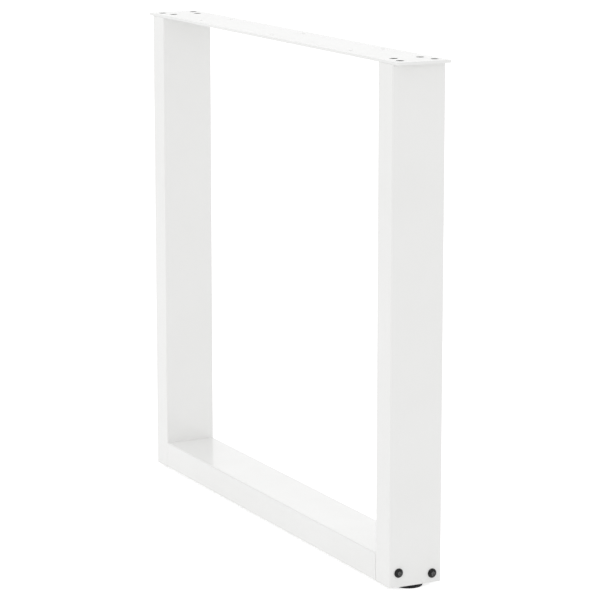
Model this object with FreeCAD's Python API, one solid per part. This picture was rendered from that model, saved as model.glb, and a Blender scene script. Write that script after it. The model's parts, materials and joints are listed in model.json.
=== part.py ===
import FreeCAD, Part
import math
import os

# U-shaped table leg of rectangular steel tube: two posts, a bottom rail bolted between them,
# a flat plate screwed across their tops, and a levelling foot under each post.
# Millimetres. +X runs along the leg's width, +Z is up, and the front faces -Y.
# The origin is on the floor, under the middle of the leg.

# Overall sizes
overall_width = 800.0
overall_height = 720.0

# Tube of the posts and the rail
tube_face = 40.0
tube_depth = 80.0
tube_wall = 1.5
tube_inner_radius = 0.3

# Top plate
plate_thickness = 4.0
plate_overhang = 15.0
plate_corner_radius = 1.5
plate_edge_chamfer = 0.4

# Holes in the top plate for the table-top screws, in two rows
table_hole_diameter = 5.5
table_hole_inset = 15.0
table_hole_pitch = 240.0
table_hole_columns = 3

# Countersunk screws that hold the plate on the posts
plate_screw_diameter = 6.0
plate_screw_head_diameter = 11.4
plate_screw_recess = 0.15
plate_screw_socket = 4.0
plate_screw_socket_depth = 1.8
plate_screw_tip = 1.5
plate_screw_edge = 1.5
outer_screw_inset = 14.0
inner_screw_inset = 20.0

# Round-head bolts that hold the rail between the posts
rail_bolt_diameter = 8.0
rail_bolt_head_diameter = 13.0
rail_bolt_head_height = 4.0
rail_bolt_head_rim = 1.6
rail_bolt_head_flat = 8.0
rail_bolt_socket = 5.0
rail_bolt_socket_depth = 2.4
rail_bolt_tip = 2.0
rail_bolt_inset = 14.0
front_bolt_height = 20.0
back_bolt_height = 13.0

# Steel pieces welded inside the tubes
top_cap_thickness = 6.0
bottom_cap_thickness = 3.0
rail_end_thickness = 6.0
sleeve_wall = 2.0

# Levelling feet
foot_inset = 0.25
foot_height = 5.0
foot_edge_chamfer = 1.0
foot_floor = 1.5
foot_travel = 10.0
stud_diameter = 8.0
stud_head_across_flats = 13.0
stud_head_thickness = 2.0
stud_reserve = 2.5
stud_tip_chamfer = 1.0
nut_across_flats = 13.0
nut_height = 6.5

# Clearances, each on a radius or on one side
weld_clearance = 0.1
thread_clearance = 0.05
seat_clearance = 0.05
bolt_hole_clearance = 0.5
stud_hole_clearance = 0.5
insert_clearance = 0.05

# Places that follow from the sizes
post_bottom = foot_height
post_top = overall_height - plate_thickness
post_outer_face = overall_width / 2 - plate_overhang
post_axis = post_outer_face - tube_face / 2
post_inner_face = post_outer_face - tube_face
rail_length = 2 * post_inner_face
inner_face = tube_face - 2 * tube_wall
inner_depth = tube_depth - 2 * tube_wall
tube_outer_radius = tube_inner_radius + tube_wall
screw_offset = inner_face / 2 - plate_screw_edge - plate_screw_diameter / 2
bolt_rows = (
    (-tube_depth / 2 + rail_bolt_inset, post_bottom + front_bolt_height),
    (tube_depth / 2 - rail_bolt_inset, post_bottom + back_bolt_height),
)
outer_screw_y = tube_depth / 2 - outer_screw_inset
inner_screw_y = tube_depth / 2 - inner_screw_inset
foot_radius = tube_face / 2 - foot_inset

UP = FreeCAD.Vector(0, 0, 1)
ALONG = FreeCAD.Vector(1, 0, 0)
ACROSS = FreeCAD.Vector(0, 1, 0)
ORIGIN = FreeCAD.Vector(0, 0, 0)
SIDES = {"left": -1, "right": 1}

# Edges that differ in height by less than this lie level
LEVEL = 0.01


def rounded_bar(size_x, size_y, radius, bottom, height):
    """Upright bar with round corners, from the height 'bottom' upwards."""
    bar = Part.makeBox(size_x, size_y, height, FreeCAD.Vector(-size_x / 2, -size_y / 2, bottom))
    uprights = [edge for edge in bar.Edges if edge.BoundBox.ZLength > height / 2]
    return bar.makeFillet(radius, uprights)


def rounded_tube(bottom, height):
    """Upright length of the rectangular tube."""
    tube = rounded_bar(tube_face, tube_depth, tube_outer_radius, bottom, height)
    return tube.cut(rounded_bar(inner_face, inner_depth, tube_inner_radius, bottom, height))


def rod(radius, start, direction, length):
    """Round rod from a start point along a direction."""
    return Part.makeCylinder(radius, length, start, direction)


def hexagon(across_flats, start, direction, length):
    """Six-sided prism from a start point along a direction."""
    radius = across_flats / math.sqrt(3)
    corners = []
    for step in range(6):
        angle = step * math.pi / 3
        corners.append(FreeCAD.Vector(radius * math.cos(angle), radius * math.sin(angle), 0))
    outline = Part.makePolygon(corners + corners[:1])
    prism = Part.Face(outline).extrude(UP * length)
    prism.Placement = FreeCAD.Placement(start, FreeCAD.Rotation(UP, direction))
    return prism


def plate_screw_places(side):
    """Centres of the four screws over one post: the outer pair stands wider than the inner."""
    places = []
    for outward, screw_y in ((1, outer_screw_y), (-1, inner_screw_y)):
        for front in (-1, 1):
            places.append((side * (post_axis + outward * screw_offset), front * screw_y))
    return places


def table_hole_places():
    """Centres of the holes for the table-top screws."""
    places = []
    first = -table_hole_pitch * (table_hole_columns - 1) / 2
    for column in range(table_hole_columns):
        for front in (-1, 1):
            places.append((first + column * table_hole_pitch, front * (tube_depth / 2 - table_hole_inset)))
    return places


def screw_head_cone(centre_x, centre_y, clearance):
    """Ninety-degree cone of a countersunk head, widened by a clearance, up to the plate's top face."""
    head_radius = plate_screw_head_diameter / 2 + plate_screw_recess + clearance
    shank_radius = plate_screw_diameter / 2 + clearance
    depth = head_radius - shank_radius
    crown = FreeCAD.Vector(centre_x, centre_y, overall_height)
    return Part.makeCone(head_radius, shank_radius, depth, crown, -UP)


def make_top_plate():
    """Flat strip across both posts, countersunk over them and drilled for the table-top screws."""
    plate = rounded_bar(overall_width, tube_depth, plate_corner_radius, post_top, plate_thickness)
    rims = [edge for edge in plate.Edges if edge.BoundBox.ZLength < LEVEL]
    plate = plate.makeChamfer(plate_edge_chamfer, rims)
    cuts = []
    for side in SIDES.values():
        for centre_x, centre_y in plate_screw_places(side):
            start = FreeCAD.Vector(centre_x, centre_y, post_top)
            cuts.append(rod(plate_screw_diameter / 2 + seat_clearance, start, UP, plate_thickness))
            cuts.append(screw_head_cone(centre_x, centre_y, seat_clearance))
    for centre_x, centre_y in table_hole_places():
        start = FreeCAD.Vector(centre_x, centre_y, post_top)
        cuts.append(rod(table_hole_diameter / 2, start, UP, plate_thickness))
    return plate.cut(cuts)


def make_post(side):
    """Upright tube with two holes through both of its wide walls for the rail bolts."""
    tube = rounded_tube(post_bottom, post_top - post_bottom)
    tube.translate(ALONG * side * post_axis)
    holes = []
    for bolt_y, bolt_z in bolt_rows:
        start = FreeCAD.Vector(side * post_outer_face, bolt_y, bolt_z)
        holes.append(rod(rail_bolt_diameter / 2 + bolt_hole_clearance, start, ALONG * -side, tube_face))
    return tube.cut(holes)


def make_rail():
    """Tube laid on its wide side between the posts' inner faces."""
    tube = rounded_tube(0, rail_length)
    tube.rotate(ORIGIN, ACROSS, 90)
    tube.translate(FreeCAD.Vector(-rail_length / 2, 0, post_bottom + tube_face / 2))
    return tube


def tube_plug(thickness):
    """Plate that fills a tube's inside, lying flat on the XY plane."""
    size_x = inner_face - 2 * weld_clearance
    size_y = inner_depth - 2 * weld_clearance
    return rounded_bar(size_x, size_y, tube_inner_radius, 0, thickness)


def make_top_cap(side):
    """Tapped block welded in a post's top end, level with it."""
    cap = tube_plug(top_cap_thickness)
    cap.translate(FreeCAD.Vector(side * post_axis, 0, post_top - top_cap_thickness))
    holes = []
    for centre_x, centre_y in plate_screw_places(side):
        start = FreeCAD.Vector(centre_x, centre_y, post_top - top_cap_thickness)
        holes.append(rod(plate_screw_diameter / 2 + thread_clearance, start, UP, top_cap_thickness))
    return cap.cut(holes)


def make_bottom_cap(side):
    """Plate welded in a post's bottom end, with a hole for the foot's stud."""
    cap = tube_plug(bottom_cap_thickness)
    cap.translate(FreeCAD.Vector(side * post_axis, 0, post_bottom))
    start = FreeCAD.Vector(side * post_axis, 0, post_bottom)
    return cap.cut(rod(stud_diameter / 2 + stud_hole_clearance, start, UP, bottom_cap_thickness))


def make_rail_end_plate(side):
    """Tapped plate welded in the rail's end, level with it, so that it bears on the post."""
    plate = tube_plug(rail_end_thickness)
    plate.rotate(ORIGIN, ACROSS, 90 * side)
    back_face = post_inner_face - rail_end_thickness
    plate.translate(FreeCAD.Vector(side * back_face, 0, post_bottom + tube_face / 2))
    holes = []
    for bolt_y, bolt_z in bolt_rows:
        start = FreeCAD.Vector(side * post_inner_face, bolt_y, bolt_z)
        holes.append(rod(rail_bolt_diameter / 2 + thread_clearance, start, ALONG * -side, rail_end_thickness))
    return plate.cut(holes)


def make_bolt_sleeves(side):
    """Two spacer tubes between a post's walls, which take the pull of the rail bolts."""
    sleeves = []
    bore_radius = rail_bolt_diameter / 2 + bolt_hole_clearance
    for bolt_y, bolt_z in bolt_rows:
        start = FreeCAD.Vector(side * (post_outer_face - tube_wall), bolt_y, bolt_z)
        sleeve = rod(bore_radius + sleeve_wall, start, ALONG * -side, inner_face)
        sleeves.append(sleeve.cut(rod(bore_radius, start, ALONG * -side, inner_face)))
    return Part.makeCompound(sleeves)


def make_rail_bolt(side, bolt_y, bolt_z):
    """Socket bolt with a low tapered head, through a post into the rail's end plate."""
    seat = FreeCAD.Vector(side * post_outer_face, bolt_y, bolt_z)
    outward = ALONG * side
    head_radius = rail_bolt_head_diameter / 2
    taper_height = rail_bolt_head_height - rail_bolt_head_rim
    taper_start = seat + outward * rail_bolt_head_rim
    crown = seat + outward * rail_bolt_head_height
    bolt = rod(head_radius, seat, outward, rail_bolt_head_rim)
    taper = Part.makeCone(head_radius, rail_bolt_head_flat / 2, taper_height, taper_start, outward)
    shank_length = tube_face + rail_end_thickness + rail_bolt_tip
    bolt = bolt.fuse([taper, rod(rail_bolt_diameter / 2, seat, -outward, shank_length)])
    bolt = bolt.cut(hexagon(rail_bolt_socket, crown, -outward, rail_bolt_socket_depth))
    return bolt.removeSplitter()


def make_rail_bolts(side):
    """The two bolts of one post."""
    return Part.makeCompound([make_rail_bolt(side, bolt_y, bolt_z) for bolt_y, bolt_z in bolt_rows])


def make_plate_screws(side):
    """The four countersunk screws of one post, sunk a little below the plate's top face."""
    screws = []
    shank_radius = plate_screw_diameter / 2
    head_top = overall_height - plate_screw_recess
    shank_length = plate_thickness - plate_screw_recess + top_cap_thickness + plate_screw_tip
    for centre_x, centre_y in plate_screw_places(side):
        crown = FreeCAD.Vector(centre_x, centre_y, head_top)
        screw = rod(shank_radius, crown, -UP, shank_length)
        head_radius = plate_screw_head_diameter / 2
        screw = screw.fuse(Part.makeCone(head_radius, shank_radius, head_radius - shank_radius, crown, -UP))
        screw = screw.cut(hexagon(plate_screw_socket, crown, -UP, plate_screw_socket_depth))
        screws.append(screw.removeSplitter())
    return Part.makeCompound(screws)


def make_foot_nut(side):
    """Weld nut on the bottom cap, which the foot's stud screws into."""
    start = FreeCAD.Vector(side * post_axis, 0, post_bottom + bottom_cap_thickness)
    nut = hexagon(nut_across_flats, start, UP, nut_height)
    return nut.cut(rod(stud_diameter / 2 + thread_clearance, start, UP, nut_height))


def stud_body(clearance):
    """Stud with its hexagon head, widened by a clearance, on the Z axis with the foot on the floor."""
    head_start = UP * (foot_floor - clearance)
    across_flats = stud_head_across_flats + 2 * clearance
    head = hexagon(across_flats, head_start, UP, stud_head_thickness + 2 * clearance)
    length = foot_height - foot_floor + bottom_cap_thickness + nut_height + foot_travel + stud_reserve
    shank = rod(stud_diameter / 2 + clearance, head_start, UP, length + clearance)
    return head.fuse(shank).removeSplitter()


def make_foot_stud(side):
    """Threaded stud of a foot, long enough to stay in its nut over the whole travel."""
    stud = stud_body(0)
    tip = [edge for edge in stud.Edges if edge.BoundBox.ZMin > stud.BoundBox.ZMax - LEVEL]
    stud = stud.makeChamfer(stud_tip_chamfer, tip)
    stud.translate(ALONG * side * post_axis)
    return stud


def make_foot_pad(side):
    """Moulded foot disc around the stud's head, with a chamfered lower edge."""
    pad = rod(foot_radius, ORIGIN, UP, foot_height)
    lower_edge = [edge for edge in pad.Edges if edge.BoundBox.ZMax < LEVEL]
    pad = pad.makeChamfer(foot_edge_chamfer, lower_edge)
    pad = pad.cut(stud_body(insert_clearance))
    pad.translate(ALONG * side * post_axis)
    return pad


def make_nodes():
    """Every piece of the leg by its node name."""
    nodes = {"top_plate": make_top_plate(), "bottom_rail": make_rail()}
    for name, side in SIDES.items():
        nodes[name + "_post"] = make_post(side)
        nodes[name + "_post_top_cap"] = make_top_cap(side)
        nodes[name + "_post_bottom_cap"] = make_bottom_cap(side)
        nodes[name + "_rail_end_plate"] = make_rail_end_plate(side)
        nodes[name + "_bolt_sleeves"] = make_bolt_sleeves(side)
        nodes[name + "_rail_bolts"] = make_rail_bolts(side)
        nodes[name + "_plate_screws"] = make_plate_screws(side)
        nodes[name + "_foot_nut"] = make_foot_nut(side)
        nodes[name + "_foot_pad"] = make_foot_pad(side)
        nodes[name + "_foot_stud"] = make_foot_stud(side)
    return nodes


os.makedirs("parts", exist_ok=True)
for node_name, shape in make_nodes().items():
    shape.exportStep("parts/" + node_name + ".step")
    print(node_name, "solids", len(shape.Solids), "volume", round(shape.Volume, 1), "valid", shape.isValid())
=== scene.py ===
# %% [markdown]
# # A U-shaped table leg in white powder coat
# The leg comes flat in a box: two posts and a bottom rail of rectangular steel tube, a flat plate
# across the top, black bolts and screws, and a black levelling foot under each post. Its
# construction is already modelled at real size, so this lesson starts from that model as a fixed
# frame and never moves it. It gives every surface its finish, and it turns the small hardware anew,
# with the domes, sockets and threads that a close look shows.

# %% Load the frame
import json
import math

import bmesh
import bpy
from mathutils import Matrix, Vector

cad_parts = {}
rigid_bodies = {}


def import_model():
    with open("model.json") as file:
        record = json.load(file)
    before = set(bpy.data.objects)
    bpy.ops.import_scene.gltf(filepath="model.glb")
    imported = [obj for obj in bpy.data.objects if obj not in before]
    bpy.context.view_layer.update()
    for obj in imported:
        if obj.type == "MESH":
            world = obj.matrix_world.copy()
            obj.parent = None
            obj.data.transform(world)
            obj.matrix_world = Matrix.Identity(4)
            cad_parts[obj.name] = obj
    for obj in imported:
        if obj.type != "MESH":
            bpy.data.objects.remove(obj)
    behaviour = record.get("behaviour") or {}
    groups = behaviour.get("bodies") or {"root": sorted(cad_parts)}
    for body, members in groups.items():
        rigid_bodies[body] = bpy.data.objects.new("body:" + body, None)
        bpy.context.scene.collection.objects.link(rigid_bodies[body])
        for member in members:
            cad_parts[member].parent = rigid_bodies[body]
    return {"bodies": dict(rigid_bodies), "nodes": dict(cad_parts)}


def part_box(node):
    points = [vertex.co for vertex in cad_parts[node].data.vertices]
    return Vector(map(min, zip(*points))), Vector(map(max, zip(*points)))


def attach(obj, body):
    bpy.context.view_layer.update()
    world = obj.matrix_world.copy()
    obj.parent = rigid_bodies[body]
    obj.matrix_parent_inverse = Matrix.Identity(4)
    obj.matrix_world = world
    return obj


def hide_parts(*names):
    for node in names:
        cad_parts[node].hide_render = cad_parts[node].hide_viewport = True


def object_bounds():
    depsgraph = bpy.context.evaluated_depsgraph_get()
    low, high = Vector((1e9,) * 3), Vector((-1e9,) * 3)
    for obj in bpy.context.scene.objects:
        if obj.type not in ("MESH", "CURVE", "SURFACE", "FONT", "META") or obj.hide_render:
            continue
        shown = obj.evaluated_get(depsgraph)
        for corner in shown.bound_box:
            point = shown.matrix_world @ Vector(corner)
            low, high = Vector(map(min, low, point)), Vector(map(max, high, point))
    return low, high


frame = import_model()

nodes = frame["nodes"]
cad_low, cad_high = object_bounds()
print("Size in metres:", [round(side, 4) for side in cad_high - cad_low])

# %% [markdown]
# ## The camera
# The camera comes first, because everything else is judged through it. The photograph is taken from
# the right and a little above, with a long lens, so the near post looks hardly larger than the far
# one. The place, the aim and the lens were fitted to the corners of the posts, the plate and the
# rail. A long lens from far away keeps the posts nearly parallel without any lens shift, which would
# push the object out of the other views.

# %% Place the camera
CAMERA_PLACE = Vector((3.5516, -1.7829, 1.1158))
CAMERA_AIM = Vector((0.0127, 0.0133, 0.3330))
CAMERA_LENS_MM = 166.63
CAMERA_SENSOR_MM = 36.0

camera_data = bpy.data.cameras.new("photo_camera")
camera_data.lens = CAMERA_LENS_MM
camera_data.sensor_width = CAMERA_SENSOR_MM
camera = bpy.data.objects.new("photo_camera", camera_data)
camera.location = CAMERA_PLACE
camera.rotation_euler = (CAMERA_AIM - CAMERA_PLACE).to_track_quat("-Z", "Y").to_euler()
bpy.context.scene.collection.objects.link(camera)
bpy.context.scene.camera = camera
print("Camera distance in metres:", round((CAMERA_AIM - CAMERA_PLACE).length, 3))


# %% [markdown]
# ## A helper for node trees
# Finishes and Geometry Nodes are both trees of nodes, and both are built the same way: add a node,
# choose its settings, and feed each input with a number or with another node's output. One short
# helper does that, so each tree below reads as a list of what it does.

# %% Add a node and feed its inputs
def add_node(tree, kind, inputs, **settings):
    """Adds a node. Each input, by name or place, takes a value or another node's output."""
    node = tree.nodes.new(kind)
    for name, value in settings.items():
        setattr(node, name, value)
    for key, value in inputs.items():
        if isinstance(value, bpy.types.NodeSocket):
            tree.links.new(value, node.inputs[key])
        else:
            node.inputs[key].default_value = value
    return node


def compute(tree, operation, *values):
    """Adds a Math node and returns its result."""
    return add_node(tree, "ShaderNodeMath", dict(enumerate(values)), operation=operation).outputs[0]


# %% [markdown]
# ## Finishes
# A finish is never one flat colour. Each one below starts from a Principled shader and gets three
# things from noise on Object coordinates, which are metres on the piece itself: a slow change of
# shade, an uneven gloss and a fine relief. The sizes of the noise are the sizes that the real
# finish has, so a close view holds up as well as a far one. What is the same all over, such as
# metalness, is set on the shader's own socket. Where a mesh is marked, the shade can give way to a
# lighter colour, which is partly wear and partly a painted highlight.

# %% Build a finish from noise
MM = 0.001
# Noise seldom leaves the middle of its range, so finishes change between these two values of it.
NOISE_LOW = 0.3
NOISE_HIGH = 0.7
SHADE_DETAIL = 3.0
GLOSS_DETAIL = 2.0
RELIEF_DETAIL = 1.0
SKIN_ROUGHNESS = 0.10
# Mark and amount of a lighter colour that is partly wear and partly a painted highlight.
WEAR_AND_HIGHLIGHT_MARK = "rubbed"
WEAR_AND_HIGHLIGHT_AMOUNT = (0.5, 1.0)


def grain(tree, size_mm, detail):
    """Noise whose lumps are about the given size."""
    place = add_node(tree, "ShaderNodeTexCoord", {}).outputs["Object"]
    inputs = {"Vector": place, "Scale": 1.0 / (size_mm * MM), "Detail": detail}
    return add_node(tree, "ShaderNodeTexNoise", inputs).outputs["Fac"]


def shade_between(tree, factor, dark, light):
    """Colour that goes from dark to light as the factor crosses the middle of its range."""
    ramp = add_node(tree, "ShaderNodeValToRGB", {"Fac": factor})
    low, high = ramp.color_ramp.elements
    low.position = NOISE_LOW
    high.position = NOISE_HIGH
    low.color = (*dark, 1.0)
    high.color = (*light, 1.0)
    return ramp.outputs["Color"]


def number_between(tree, factor, low, high):
    """Number that goes from low to high as the factor crosses the middle of its range."""
    noise_range = {"From Min": NOISE_LOW, "From Max": NOISE_HIGH}
    inputs = {"Value": factor, **noise_range, "To Min": low, "To Max": high}
    return add_node(tree, "ShaderNodeMapRange", inputs).outputs["Result"]


def paint_wear_and_highlight(tree, shade, unevenness, worn_and_lit_colour):
    """Shade that gives way, unevenly, to a lighter colour that is partly wear and partly painted
    highlight.
    """
    mark = add_node(tree, "ShaderNodeAttribute", {}, attribute_name=WEAR_AND_HIGHLIGHT_MARK).outputs["Fac"]
    amount = compute(tree, "MULTIPLY", mark, number_between(tree, unevenness, *WEAR_AND_HIGHLIGHT_AMOUNT))
    mixing = {"Fac": amount, "Color1": shade, "Color2": (*worn_and_lit_colour, 1.0)}
    return add_node(tree, "ShaderNodeMixRGB", mixing).outputs["Color"]


def make_finish(name, dark, light, shade_size, gloss_size, roughness, relief_size, relief_mm,
                metallic=0.0, mirror=0.5, skin=0.0, rubbed=None):
    """Material whose shade, roughness and relief vary, each over its own size in millimetres."""
    finish = bpy.data.materials.new(name)
    finish.use_nodes = True
    tree = finish.node_tree
    shader = tree.nodes["Principled BSDF"]
    shader.inputs["Metallic"].default_value = metallic
    shader.inputs["Specular IOR Level"].default_value = mirror
    shader.inputs["Coat Weight"].default_value = skin
    shader.inputs["Coat Roughness"].default_value = SKIN_ROUGHNESS
    shade = shade_between(tree, grain(tree, shade_size, SHADE_DETAIL), dark, light)
    gloss_grain = grain(tree, gloss_size, GLOSS_DETAIL)
    if rubbed:
        shade = paint_wear_and_highlight(tree, shade, gloss_grain, rubbed)
    gloss = number_between(tree, gloss_grain, *roughness)
    relief = grain(tree, relief_size, RELIEF_DETAIL)
    bump = add_node(tree, "ShaderNodeBump", {"Height": relief, "Distance": relief_mm * MM})
    tree.links.new(shade, shader.inputs["Base Color"])
    tree.links.new(gloss, shader.inputs["Roughness"])
    tree.links.new(bump.outputs["Normal"], shader.inputs["Normal"])
    return finish


# %% [markdown]
# ### White powder coat
# Powder coat is baked on as dry powder. It flows out to a satin film that keeps a faint orange peel,
# lumps of two or three millimetres and only a few hundredths of a millimetre high. The white is
# slightly warm, and the film is nowhere quite equally thick, so the shade drifts a little. The
# outermost skin melts smoother than the film beneath. At a low angle it mirrors what stands on it,
# as the rail's top does with the foot of the far post, so the shader's Coat layer stands for it.

# %% White powder coat on the steel
white_coat = make_finish(
    "white_powder_coat",
    dark=(0.905, 0.905, 0.893),
    light=(0.925, 0.925, 0.915),
    shade_size=120.0,
    gloss_size=35.0,
    roughness=(0.30, 0.37),
    relief_size=2.4,
    relief_mm=0.03,
    skin=0.7,
)

# %% [markdown]
# ### Black steel, zinc and black plastic
# The rail bolts are blackened and oiled, so they are dark and satin, in blotches. Their sockets are
# painted a lighter grey, partly as wear from the key and partly as a painted highlight for the light
# that falls into them. A mark on the mesh says where. The plate screws are phosphated, which leaves
# a dull black crust that hardly mirrors anything, and that is why they stay dark at the photograph's
# low angle. The studs, nuts and sleeves are zinc plated and stay bright. The feet are moulded
# plastic with the fine spark-eroded grain of their mould.

# %% Finishes of the hardware
black_steel = make_finish(
    "black_oxide_steel",
    dark=(0.006, 0.006, 0.007),
    light=(0.018, 0.018, 0.018),
    shade_size=3.0,
    gloss_size=1.5,
    roughness=(0.28, 0.34),
    relief_size=0.25,
    relief_mm=0.01,
    mirror=0.2,
    # Lighter grey in the sockets: partly key wear, partly a painted highlight of the light falling in.
    rubbed=(0.27, 0.27, 0.27),
)
dull_steel = make_finish(
    "phosphated_steel",
    dark=(0.012, 0.012, 0.013),
    light=(0.030, 0.030, 0.029),
    shade_size=1.2,
    gloss_size=0.8,
    roughness=(0.55, 0.68),
    relief_size=0.15,
    relief_mm=0.015,
    mirror=0.12,
)
zinc_steel = make_finish(
    "zinc_plated_steel",
    dark=(0.58, 0.59, 0.61),
    light=(0.72, 0.72, 0.71),
    shade_size=4.0,
    gloss_size=2.0,
    roughness=(0.28, 0.40),
    relief_size=0.3,
    relief_mm=0.008,
    metallic=1.0,
)
black_plastic = make_finish(
    "black_moulded_plastic",
    dark=(0.005, 0.005, 0.006),
    light=(0.011, 0.011, 0.012),
    shade_size=8.0,
    gloss_size=3.0,
    roughness=(0.55, 0.68),
    relief_size=0.35,
    relief_mm=0.03,
    mirror=0.2,
)
finishes = (white_coat, black_steel, dull_steel, zinc_steel, black_plastic)
print("Finishes:", ", ".join(finish.name for finish in finishes))


# %% [markdown]
# ## The steel parts keep their own solids
# The tubes, the plate and the pieces inside them are plain rolled and cut steel. Their solids
# already have the right walls, round tube corners and holes, so nothing has to be modelled again:
# each solid only takes its finish. The ones that were welded in before coating are white too.

# %% Paint the parts of the frame
def paint(names, finish):
    """Gives CAD parts a finish."""
    for name in names:
        for material_slot in nodes[name].material_slots:
            material_slot.material = finish
    print(finish.name, "on", len(names), "parts")


SIDES = ("left", "right")
COATED_PER_SIDE = ("post", "post_top_cap", "post_bottom_cap", "rail_end_plate")
PLATED_PER_SIDE = ("bolt_sleeves", "foot_nut")
paint(["top_plate", "bottom_rail"], white_coat)
paint([side + "_" + part for side in SIDES for part in COATED_PER_SIDE], white_coat)
paint([side + "_" + part for side in SIDES for part in PLATED_PER_SIDE], zinc_steel)


# %% [markdown]
# ## Measure the hardware in the frame
# Bolts, screws, feet and studs are turned again below, so their places and sizes are read from the
# solids that they stand for. One node may hold several solids, such as the four screws of a post.
# Walking from vertex to vertex along the edges finds each one, and its box says where it sits.

# %% Find the separate solids of a node
SAME_POINT = 1e-6


def box_of(places):
    """(lowest corner, highest corner) of some points."""
    axes = list(zip(*places))
    return Vector(map(min, axes)), Vector(map(max, axes))


def solids_of(node_name):
    """Box of each separate solid in a CAD node, in order along X, then Y."""
    mesh = bmesh.new()
    mesh.from_mesh(nodes[node_name].data)
    bmesh.ops.remove_doubles(mesh, verts=mesh.verts, dist=SAME_POINT)
    unseen = set(mesh.verts)
    boxes = []
    while unseen:
        edge_of_walk = [unseen.pop()]
        places = []
        while edge_of_walk:
            vertex = edge_of_walk.pop()
            places.append(vertex.co.copy())
            for edge in vertex.link_edges:
                neighbour = edge.other_vert(vertex)
                if neighbour in unseen:
                    unseen.remove(neighbour)
                    edge_of_walk.append(neighbour)
        boxes.append(box_of(places))
    mesh.free()
    return sorted(boxes, key=lambda box: tuple(box[0]))


for side in SIDES:
    for part in ("rail_bolts", "plate_screws"):
        print(side, part, "solids:", len(solids_of(side + "_" + part)))


# %% [markdown]
# ## Sections to turn
# Every piece of this hardware is made on a lathe or in a round mould, so it is drawn as half a
# section: a line of points, each a radius and a height in millimetres, that starts and ends on the
# axis. Two marks on the points say what isn't round: hex for a six-sided wall and thread for a
# helix. A third says where the finish turns a lighter grey, partly as wear from a key and partly as
# a painted highlight. Arcs and threads are worked out, so only real corners are written down.

# %% Draw a half section
SHAPE_MARKS = ("hex", "thread")
MARKS = (*SHAPE_MARKS, WEAR_AND_HIGHLIGHT_MARK)
ARC_STEPS = 5
STEPS_PER_TURN = 8
SOCKET_CHAMFER = 0.2


class Section:
    """Half section of a turned piece, as points with their marks."""

    def __init__(self):
        self.points = []
        self.marks = {mark: [] for mark in MARKS}

    def to(self, radius, height, **marks):
        """Goes straight to a point."""
        self.points.append((radius, height))
        for mark in MARKS:
            self.marks[mark].append(marks.get(mark, 0.0))

    def arc(self, centre, size, first_degrees, last_degrees, **marks):
        """Goes along an arc about a centre, from one direction to another."""
        for step in range(ARC_STEPS + 1):
            angle = math.radians(first_degrees + (last_degrees - first_degrees) * step / ARC_STEPS)
            self.to(centre[0] + size * math.cos(angle), centre[1] + size * math.sin(angle), **marks)

    def thread(self, radius, start, end, pitch):
        """Goes along a thread that runs in over its first turn and out over its last."""
        steps = round(abs(end - start) / pitch * STEPS_PER_TURN)
        for step in range(steps + 1):
            depth = min(1.0, step / STEPS_PER_TURN, (steps - step) / STEPS_PER_TURN)
            self.to(radius, start + (end - start) * step / steps, thread=depth)

    def hex_socket(self, across_flats, mouth, depth, drill_depth):
        """Goes down a six-sided socket to the axis, from a chamfer at its round mouth."""
        corner = across_flats / math.sqrt(3)
        mouth_radius = corner + SOCKET_CHAMFER
        self.to(mouth_radius, mouth)
        # The socket's walls and floor get the lighter grey, partly wear and partly a painted highlight.
        self.to(corner, mouth - SOCKET_CHAMFER, hex=1.0, rubbed=1.0)
        self.to(corner, mouth - depth, hex=1.0, rubbed=1.0)
        self.to(0.0, mouth - depth - drill_depth, rubbed=1.0)


# %% [markdown]
# ## One tree turns them all
# The tree sweeps a section round a circle, as a lathe would. Then it moves each point in or out:
# towards a hexagon in a socket and along a helix on a thread. Last it sets a copy on every seat, a
# lone point that knows its axis, and gives it a turn of its own, because no two bolts stop at the
# same angle. The turns are random, with a fixed seed.

# %% Bend the round surface into sockets and threads
LATHE_RADIUS = 1.0 * MM
SIXTH_TURN = math.pi / 3
FULL_TURN = 2 * math.pi
HALF_PITCH = 0.5


def read_mark(tree, name, kind="FLOAT"):
    """Value of a named attribute on each point."""
    reader = add_node(tree, "GeometryNodeInputNamedAttribute", {"Name": name}, data_type=kind)
    return reader.outputs["Attribute"]


def shape_surface(tree, given, surface):
    """Moves the points of a turned surface in or out, by their marks."""
    place = add_node(tree, "GeometryNodeInputPosition", {}).outputs["Position"]
    x, y, z = add_node(tree, "ShaderNodeSeparateXYZ", {"Vector": place}).outputs
    angle = compute(tree, "ARCTAN2", y, x)
    square = compute(tree, "MULTIPLY_ADD", x, x, compute(tree, "MULTIPLY", y, y))
    radius = compute(tree, "SQRT", square)

    from_flat = compute(tree, "WRAP", angle, SIXTH_TURN / 2, -SIXTH_TURN / 2)
    to_flat = compute(tree, "DIVIDE", math.cos(SIXTH_TURN / 2), compute(tree, "COSINE", from_flat))
    full_change = compute(tree, "SUBTRACT", to_flat, 1.0)
    hex_change = compute(tree, "MULTIPLY", full_change, read_mark(tree, "hex"))
    radius = compute(tree, "MULTIPLY_ADD", radius, hex_change, radius)

    turns = compute(tree, "DIVIDE", angle, FULL_TURN)
    climb = compute(tree, "SUBTRACT", compute(tree, "DIVIDE", z, given["Thread Pitch"]), turns)
    groove = compute(tree, "DIVIDE", compute(tree, "PINGPONG", climb, HALF_PITCH), HALF_PITCH)
    depth = compute(tree, "MULTIPLY", given["Thread Depth"], read_mark(tree, "thread"))
    radius = compute(tree, "SUBTRACT", radius, compute(tree, "MULTIPLY", groove, depth))

    new_x = compute(tree, "MULTIPLY", radius, compute(tree, "COSINE", angle))
    new_y = compute(tree, "MULTIPLY", radius, compute(tree, "SINE", angle))
    moved = add_node(tree, "ShaderNodeCombineXYZ", {"X": new_x, "Y": new_y, "Z": z}).outputs["Vector"]
    moving = {"Geometry": surface, "Position": moved}
    return add_node(tree, "GeometryNodeSetPosition", moving).outputs["Geometry"]


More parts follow.
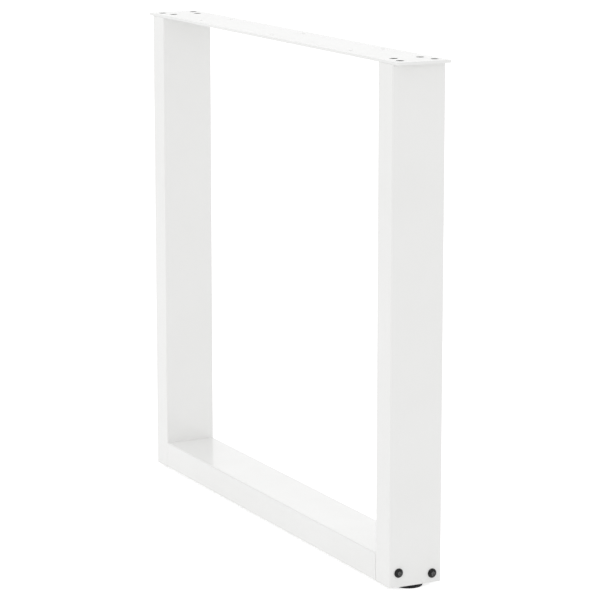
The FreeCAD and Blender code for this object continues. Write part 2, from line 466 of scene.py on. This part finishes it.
# %% Build the turning tree
# Places of the float sockets on a Random Value node, which share their names with the other kinds.
RANDOM_LOW = 2
RANDOM_HIGH = 3
RANDOM_RESULT = 1
TURNING_INPUTS = {
    "Seats": "NodeSocketGeometry",
    "Section": "NodeSocketObject",
    "Segments": "NodeSocketInt",
    "Thread Pitch": "NodeSocketFloat",
    "Thread Depth": "NodeSocketFloat",
    "Free Turn": "NodeSocketFloat",
    "Seed": "NodeSocketInt",
    "Finish": "NodeSocketMaterial",
}


def build_turning_tree():
    """Tree that turns a section round the axis of every seat."""
    tree = bpy.data.node_groups.new("turned_hardware", "GeometryNodeTree")
    for name, kind in TURNING_INPUTS.items():
        tree.interface.new_socket(name=name, in_out="INPUT", socket_type=kind)
    tree.interface.new_socket(name="Hardware", in_out="OUTPUT", socket_type="NodeSocketGeometry")
    given = tree.nodes.new("NodeGroupInput").outputs

    section = add_node(tree, "GeometryNodeObjectInfo", {"Object": given["Section"]}).outputs["Geometry"]
    line = add_node(tree, "GeometryNodeMeshToCurve", {"Mesh": section}).outputs["Curve"]
    circle_inputs = {"Resolution": given["Segments"], "Radius": LATHE_RADIUS}
    circle = add_node(tree, "GeometryNodeCurvePrimitiveCircle", circle_inputs).outputs["Curve"]
    sweeping = {"Curve": circle, "Profile Curve": line}
    swept = add_node(tree, "GeometryNodeCurveToMesh", sweeping).outputs["Mesh"]
    shaped = shape_surface(tree, given, swept)
    closing = {"Geometry": shaped, "Distance": SAME_POINT}
    closed = add_node(tree, "GeometryNodeMergeByDistance", closing).outputs["Geometry"]

    axis = {"Vector": read_mark(tree, "axis", "FLOAT_VECTOR")}
    upright = add_node(tree, "FunctionNodeAlignRotationToVector", axis, axis="Z").outputs["Rotation"]
    drawing = {RANDOM_LOW: 0.0, RANDOM_HIGH: given["Free Turn"], "Seed": given["Seed"]}
    random_value = add_node(tree, "FunctionNodeRandomValue", drawing, data_type="FLOAT")
    turn = random_value.outputs[RANDOM_RESULT]
    spinning = {"Axis": (0.0, 0.0, 1.0), "Angle": turn}
    spin = add_node(tree, "FunctionNodeAxisAngleToRotation", spinning).outputs["Rotation"]
    turning = {"Rotation": upright, "Rotate By": spin}
    turned = add_node(tree, "FunctionNodeRotateRotation", turning, rotation_space="LOCAL").outputs[0]

    seating = {"Points": given["Seats"], "Instance": closed, "Rotation": turned}
    seated = add_node(tree, "GeometryNodeInstanceOnPoints", seating).outputs["Instances"]
    real = add_node(tree, "GeometryNodeRealizeInstances", {"Geometry": seated}).outputs["Geometry"]
    coating = {"Geometry": real, "Material": given["Finish"]}
    coated = add_node(tree, "GeometryNodeSetMaterial", coating).outputs["Geometry"]
    tree.links.new(coated, tree.nodes.new("NodeGroupOutput").inputs["Hardware"])
    return tree


turning_tree = build_turning_tree()
print("Turning tree:", len(turning_tree.nodes), "nodes,", len(TURNING_INPUTS), "inputs")


# %% [markdown]
# ## From the tree to a plain piece
# The tree runs as a modifier on a mesh of seats. The modifier's inputs are set by their identifiers
# before it first runs. Then its result becomes a plain mesh, the modifier goes, every face is turned
# outwards, and only real corners stay sharp. Each piece rides on the body of the node that it
# stands for.

# %% Turn a piece of hardware
SHARP_ANGLE = math.radians(32)
DEFAULTS = {"Segments": 48, "Thread Pitch": 1.0 * MM, "Thread Depth": 0.0, "Free Turn": 0.0, "Seed": 7}


def section_object(name, section):
    """Object that holds a section as a chain of edges, laid out for the sweep round the circle."""
    places = [(radius * MM - LATHE_RADIUS, -height * MM, 0.0) for radius, height in section.points]
    edges = [(index, index + 1) for index in range(len(places) - 1)]
    mesh = bpy.data.meshes.new(name)
    mesh.from_pydata(places, edges, [])
    for mark, values in section.marks.items():
        mesh.attributes.new(mark, "FLOAT", "POINT").data.foreach_set("value", values)
    return bpy.data.objects.new(name, mesh)


def seats_object(name, seats, axis):
    """Object whose lone points are the seats, each with the axis to turn about."""
    mesh = bpy.data.meshes.new(name)
    mesh.from_pydata(seats, [], [])
    axis_mark = mesh.attributes.new("axis", "FLOAT_VECTOR", "POINT")
    axis_mark.data.foreach_set("vector", list(axis) * len(seats))
    return bpy.data.objects.new(name, mesh)


def run_tree(piece, inputs):
    """Runs the turning tree on the seats and returns its result as a plain mesh."""
    modifier = piece.modifiers.new("turning", "NODES")
    modifier.node_group = turning_tree
    for socket in turning_tree.interface.items_tree:
        if socket.in_out == "INPUT" and socket.name in inputs:
            modifier[socket.identifier] = inputs[socket.name]
    bpy.context.scene.collection.objects.link(piece)
    evaluated = piece.evaluated_get(bpy.context.evaluated_depsgraph_get())
    mesh = bpy.data.meshes.new_from_object(evaluated)
    piece.modifiers.remove(modifier)
    return mesh


def tidy_mesh(mesh):
    """Turns the faces outwards, keeps real corners sharp, and returns (volume in mm3, open edges)."""
    for mark in (*SHAPE_MARKS, "axis"):
        if mark in mesh.attributes:
            mesh.attributes.remove(mesh.attributes[mark])
    solid = bmesh.new()
    solid.from_mesh(mesh)
    bmesh.ops.recalc_face_normals(solid, faces=solid.faces)
    volume = solid.calc_volume(signed=True) / MM ** 3
    open_edges = sum(not edge.is_manifold for edge in solid.edges)
    solid.to_mesh(mesh)
    solid.free()
    mesh.shade_smooth()
    mesh.set_sharp_from_angle(angle=SHARP_ANGLE)
    return volume, open_edges


def turn_piece(node_name, body, slot_name, finish, section, seats, axis, **sizes):
    """Turns the hardware that stands for one CAD node and hands it to the frame."""
    name = "turned_" + node_name
    pattern = section_object(name + "_section", section)
    piece = seats_object(name, seats, axis)
    old_mesh = piece.data
    piece.data = run_tree(piece, {**DEFAULTS, **sizes, "Section": pattern, "Finish": finish})
    piece.data.name = name
    bpy.data.meshes.remove(old_mesh)
    bpy.data.objects.remove(pattern)
    volume, open_edges = tidy_mesh(piece.data)
    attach(piece, body)
    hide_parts(node_name)
    print(name, len(piece.data.polygons), "faces", round(volume, 1), "mm3, open edges:", open_edges)
    return piece


# %% [markdown]
# ## Rail bolts
# Two black button-head bolts hold the rail to each post. The head is a low dome with a thin straight
# rim and a hexagon socket, and it stands on the coat of the post's outer face. The shank runs
# through the post into the tapped plate in the rail's end, and only that last stretch is threaded.
# The places come from the frame, and the dome is a part of a ball that passes through the rim and
# the crown.

# %% Turn the rail bolts
BOLT_RIM = 0.9
BOLT_CROWN_RADIUS = 3.6
BOLT_SOCKET = 5.0
BOLT_SOCKET_DEPTH = 2.4
BOLT_DRILL_DEPTH = 0.6
BOLT_SHANK_RADIUS = 4.0
BOLT_THREAD_LENGTH = 17.0
BOLT_TIP = 1.0
COARSE_PITCH_8 = 1.25
COARSE_DEPTH_8 = 0.70
THREAD_8 = {"Thread Pitch": COARSE_PITCH_8 * MM, "Thread Depth": COARSE_DEPTH_8 * MM}
EDGE_ROUNDING = 0.15


def bolt_section(head_radius, head_height, shank_length):
    """Button-head bolt with its seat at height zero."""
    rise = head_height - BOLT_RIM
    ball_sag = (head_radius ** 2 - BOLT_CROWN_RADIUS ** 2 - rise ** 2) / (2 * rise)
    ball_centre = BOLT_RIM - ball_sag
    ball_radius = math.hypot(head_radius, ball_sag)
    rim_angle = math.degrees(math.atan2(ball_sag, head_radius))
    crown_angle = math.degrees(math.atan2(head_height - ball_centre, BOLT_CROWN_RADIUS))
    thread_start = BOLT_TIP - shank_length
    thread_end = BOLT_THREAD_LENGTH - shank_length
    section = Section()
    section.to(0.0, -shank_length)
    section.to(BOLT_SHANK_RADIUS - BOLT_TIP, -shank_length)
    section.thread(BOLT_SHANK_RADIUS, thread_start, thread_end, COARSE_PITCH_8)
    section.to(BOLT_SHANK_RADIUS, 0.0)
    section.to(head_radius - EDGE_ROUNDING, 0.0)
    section.to(head_radius, EDGE_ROUNDING)
    section.arc((0.0, ball_centre), ball_radius, rim_angle, crown_angle)
    section.hex_socket(BOLT_SOCKET, head_height, BOLT_SOCKET_DEPTH, BOLT_DRILL_DEPTH)
    return section


for side, outward in zip(SIDES, (-1, 1)):
    post_low, post_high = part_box(side + "_post")
    seat_x = post_high.x if outward > 0 else post_low.x
    bolts = solids_of(side + "_rail_bolts")
    bolt_low, bolt_high = bolts[0]
    head_top = bolt_high.x if outward > 0 else bolt_low.x
    shank_end = bolt_low.x if outward > 0 else bolt_high.x
    section = bolt_section(
        (bolt_high.y - bolt_low.y) / 2 / MM,
        abs(head_top - seat_x) / MM,
        abs(shank_end - seat_x) / MM,
    )
    middles = [(low + high) / 2 for low, high in bolts]
    turn_piece(
        side + "_rail_bolts", "frame", "black_steel", black_steel, section,
        [(seat_x, middle.y, middle.z) for middle in middles], (outward, 0, 0),
        **THREAD_8, **{"Free Turn": FULL_TURN},
    )

# %% [markdown]
# ## Plate screws
# Four countersunk socket screws sit flush in the plate over each post. From the photograph's low
# angle they show as thin dark spots. Their heads keep a narrow straight land above the cone, so the
# rim doesn't end in a knife edge, and their threads go through the tapped block in the post's top.

# %% Turn the plate screws
SCREW_SHANK_RADIUS = 3.0
SCREW_LAND = 0.12
SCREW_SOCKET = 4.0
SCREW_SOCKET_DEPTH = 1.8
SCREW_DRILL_DEPTH = 0.3
SCREW_TIP = 0.8
SCREW_PLAIN_NECK = 0.6
COARSE_PITCH_6 = 1.0
COARSE_DEPTH_6 = 0.55
THREAD_6 = {"Thread Pitch": COARSE_PITCH_6 * MM, "Thread Depth": COARSE_DEPTH_6 * MM}


def screw_section(head_radius, length):
    """Countersunk screw with the top of its head at height zero."""
    cone_end = SCREW_SHANK_RADIUS - head_radius
    section = Section()
    section.to(0.0, -length)
    section.to(SCREW_SHANK_RADIUS - SCREW_TIP, -length)
    section.thread(SCREW_SHANK_RADIUS, SCREW_TIP - length, cone_end - SCREW_PLAIN_NECK, COARSE_PITCH_6)
    section.to(SCREW_SHANK_RADIUS, cone_end)
    section.to(head_radius - SCREW_LAND, -SCREW_LAND)
    section.to(head_radius - SCREW_LAND, 0.0)
    section.hex_socket(SCREW_SOCKET, 0.0, SCREW_SOCKET_DEPTH, SCREW_DRILL_DEPTH)
    return section


for seed, side in enumerate(SIDES):
    screws = solids_of(side + "_plate_screws")
    screw_low, screw_high = screws[0]
    section = screw_section((screw_high.x - screw_low.x) / 2 / MM, (screw_high.z - screw_low.z) / MM)
    middles = [(low + high) / 2 for low, high in screws]
    turn_piece(
        side + "_plate_screws", "frame", "black_steel", dull_steel, section,
        [(middle.x, middle.y, screw_high.z) for middle in middles], (0, 0, 1),
        **THREAD_6, **{"Free Turn": FULL_TURN, "Seed": seed},
    )

# %% [markdown]
# ## Levelling feet
# Each foot is a black disc moulded round the six-sided head of a threaded stud. Turning the disc
# screws the stud out of the nut in the post and lifts the leg. The disc's lower edge is rounded so
# that it slides over a floor. The stud's thread only shows when the foot is screwed out, but then it
# is what the eye goes to, so it is a true helix.

# %% Turn the feet and their studs
PAD_LOWER_ROUNDING = 1.0
PAD_UPPER_ROUNDING = 0.4
PAD_SEGMENTS = 96
STUD_RADIUS = 4.0
STUD_HEAD_THICKNESS = 2.0
STUD_TIP = 1.0
STUD_NECK = 0.4
FIT = 0.05


def pad_section(radius, height, head_flats, head_bottom):
    """Foot disc with its sole at height zero and a hollow for the stud and its head."""
    hollow_corner = (head_flats + 2 * FIT) / math.sqrt(3)
    hollow_top = head_bottom + STUD_HEAD_THICKNESS + FIT
    section = Section()
    section.to(0.0, 0.0)
    lower = PAD_LOWER_ROUNDING
    section.arc((radius - lower, lower), lower, -90, 0)
    upper = PAD_UPPER_ROUNDING
    section.arc((radius - upper, height - upper), upper, 0, 90)
    section.to(STUD_RADIUS + FIT, height)
    section.to(STUD_RADIUS + FIT, hollow_top)
    section.to(hollow_corner, hollow_top, hex=1.0)
    section.to(hollow_corner, head_bottom - FIT, hex=1.0)
    section.to(0.0, head_bottom - FIT)
    return section


def stud_section(bottom, top, head_flats, thread_start):
    """Threaded stud with a six-sided head, at its real heights."""
    head_corner = head_flats / math.sqrt(3)
    section = Section()
    section.to(0.0, bottom)
    section.to(head_corner, bottom, hex=1.0)
    section.to(head_corner, bottom + STUD_HEAD_THICKNESS, hex=1.0)
    section.to(STUD_RADIUS, bottom + STUD_HEAD_THICKNESS)
    section.thread(STUD_RADIUS, thread_start + STUD_NECK, top - STUD_TIP, COARSE_PITCH_8)
    section.to(STUD_RADIUS - STUD_TIP, top)
    section.to(0.0, top)
    return section


for side in SIDES:
    pad_low, pad_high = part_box(side + "_foot_pad")
    stud_low, stud_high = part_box(side + "_foot_stud")
    middle = (pad_low + pad_high) / 2
    seat = [(middle.x, middle.y, 0.0)]
    pad_height = pad_high.z / MM
    head_flats = (stud_high.y - stud_low.y) / MM
    pad = pad_section((pad_high.x - pad_low.x) / 2 / MM, pad_height, head_flats, stud_low.z / MM)
    stud = stud_section(stud_low.z / MM, stud_high.z / MM, head_flats, pad_height)
    turn_piece(
        side + "_foot_pad", side + "_foot", "black_plastic", black_plastic, pad, seat, (0, 0, 1),
        Segments=PAD_SEGMENTS,
    )
    turn_piece(
        side + "_foot_stud", side + "_foot", "bare_steel", zinc_steel, stud, seat, (0, 0, 1),
        **THREAD_8,
    )

# %% [markdown]
# ## The floor
# The photograph shows the leg on pure white. A plain white floor gives that, but light alone would
# have to be so strong that the leg itself would burn out. So the floor glows, mostly for rays that
# come straight from the camera or by way of a mirror or glass. The little glow that is left for the
# leg's own surfaces lights them from below and fills the shadow under the plate. The floor's matt
# white still takes the leg's shadow. From below it lets the camera through, so that the feet can be
# looked at. A foot that is screwed out takes the floor down with it, because a Floor constraint
# keeps the floor from standing higher than either foot.

# %% Lay the floor
FLOOR_HALF_SIZE = 40.0
FLOOR_WHITE = (0.80, 0.80, 0.80, 1.0)
FLOOR_SEEN = 0.62
FLOOR_LIGHT = 0.109
FLOOR_GAP = 0.1 * MM


def seen_directly(tree):
    """One for rays from the camera, a mirror or glass, and zero for light between surfaces."""
    light_path = add_node(tree, "ShaderNodeLightPath", {}).outputs
    mirrored = compute(tree, "MAXIMUM", light_path["Is Glossy Ray"], light_path["Is Transmission Ray"])
    return compute(tree, "MAXIMUM", light_path["Is Camera Ray"], mirrored)


def make_floor_finish():
    """Matt white that glows, most of all for the camera, and is clear from below."""
    finish = bpy.data.materials.new("white_floor")
    finish.use_nodes = True
    tree = finish.node_tree
    tree.nodes.clear()
    matt = add_node(tree, "ShaderNodeBsdfDiffuse", {"Color": FLOOR_WHITE}).outputs["BSDF"]
    strength = compute(tree, "MULTIPLY_ADD", seen_directly(tree), FLOOR_SEEN - FLOOR_LIGHT, FLOOR_LIGHT)
    glow = add_node(tree, "ShaderNodeEmission", {"Strength": strength}).outputs["Emission"]
    white = add_node(tree, "ShaderNodeAddShader", {0: matt, 1: glow}).outputs["Shader"]
    clear = add_node(tree, "ShaderNodeBsdfTransparent", {}).outputs["BSDF"]
    from_below = add_node(tree, "ShaderNodeNewGeometry", {}).outputs["Backfacing"]
    choosing = {0: from_below, 1: white, 2: clear}
    one_sided = add_node(tree, "ShaderNodeMixShader", choosing).outputs["Shader"]
    add_node(tree, "ShaderNodeOutputMaterial", {"Surface": one_sided})
    return finish


def lay_floor():
    """Large flat square, a hair below the soles so that the two don't flicker where they meet."""
    half = FLOOR_HALF_SIZE
    corners = [(-half, -half), (half, -half), (half, half), (-half, half)]
    mesh = bpy.data.meshes.new("floor")
    mesh.from_pydata([(x, y, -FLOOR_GAP) for x, y in corners], [], [(0, 1, 2, 3)])
    mesh.materials.append(make_floor_finish())
    floor = bpy.data.objects.new("floor", mesh)
    bpy.context.scene.collection.objects.link(floor)
    for side in SIDES:
        stop = floor.constraints.new("FLOOR")
        stop.target = frame["bodies"][side + "_foot"]
        stop.floor_location = "FLOOR_NEGATIVE_Z"
    return floor


floor = lay_floor()
print("Floor:", 2 * FLOOR_HALF_SIZE, "m square at height", floor.location.z - FLOOR_GAP)

# %% [markdown]
# ## The light
# The photograph is lit almost evenly, as in a white tent: the top faces are the brightest, the
# narrow front faces come next, and the wide end faces are a touch darker. An even white world gives
# most of it. Two large soft lamps add the difference between the faces: one high above the front for
# the plate and the rail, and one low on the camera's side, which reaches in under the plate. A small
# lamp low behind the leg stands where the rail's top mirrors it. Beside the far post the post is in
# its way, so the rail mirrors the post there and is darker. The two soft lamps are kept out of
# mirrors, so that no top face burns out when it is seen against them. From far off all three light
# both posts alike, at a plain level, so that a colour renders about as it is written.

# %% Light the scene
WORLD_LIGHT = 0.818
WORLD_SEEN = 1.0
PURE_WHITE = (1.0, 1.0, 1.0, 1.0)
TOP_LAMP = Vector((0.0, -0.25, 0.97))
TOP_POWER = 29.0
SIDE_LAMP = Vector((0.78, -0.60, 0.18))
SIDE_POWER = 46.0
BACK_LAMP = Vector((-0.86, 0.44, 0.31))
BACK_POWER = 3.4
LAMP_DISTANCE = 8.0
SOFT_SIZE = 5.0
SMALL_SIZE = 2.0


def make_world():
    """Even white world, of one strength as light and pure white where it is seen."""
    world = bpy.data.worlds.new("white_tent")
    world.use_nodes = True
    tree = world.node_tree
    background = tree.nodes["Background"]
    background.inputs["Color"].default_value = PURE_WHITE
    strength = compute(tree, "MULTIPLY_ADD", seen_directly(tree), WORLD_SEEN - WORLD_LIGHT, WORLD_LIGHT)
    tree.links.new(strength, background.inputs["Strength"])
    bpy.context.scene.world = world


def hang_lamp(name, direction, power, size, mirrored):
    """Square lamp that looks at the middle of the leg, and shows in mirrors only if it is to."""
    lamp_data = bpy.data.lights.new(name, "AREA")
    lamp_data.size = size
    lamp_data.energy = power
    lamp = bpy.data.objects.new(name, lamp_data)
    middle = (cad_low + cad_high) / 2
    lamp.location = middle + direction.normalized() * LAMP_DISTANCE
    lamp.rotation_euler = (-direction).to_track_quat("-Z", "Y").to_euler()
    lamp.visible_camera = False
    lamp.visible_glossy = mirrored
    bpy.context.scene.collection.objects.link(lamp)


make_world()
hang_lamp("top_lamp", TOP_LAMP, TOP_POWER, SOFT_SIZE, mirrored=False)
hang_lamp("side_lamp", SIDE_LAMP, SIDE_POWER, SOFT_SIZE, mirrored=False)
hang_lamp("back_lamp", BACK_LAMP, BACK_POWER, SMALL_SIZE, mirrored=True)
bpy.context.scene.view_settings.view_transform = "Standard"
print("World light:", WORLD_LIGHT)
print("Lamps in watts:", TOP_POWER, "above,", SIDE_POWER, "at the side and", BACK_POWER, "behind")
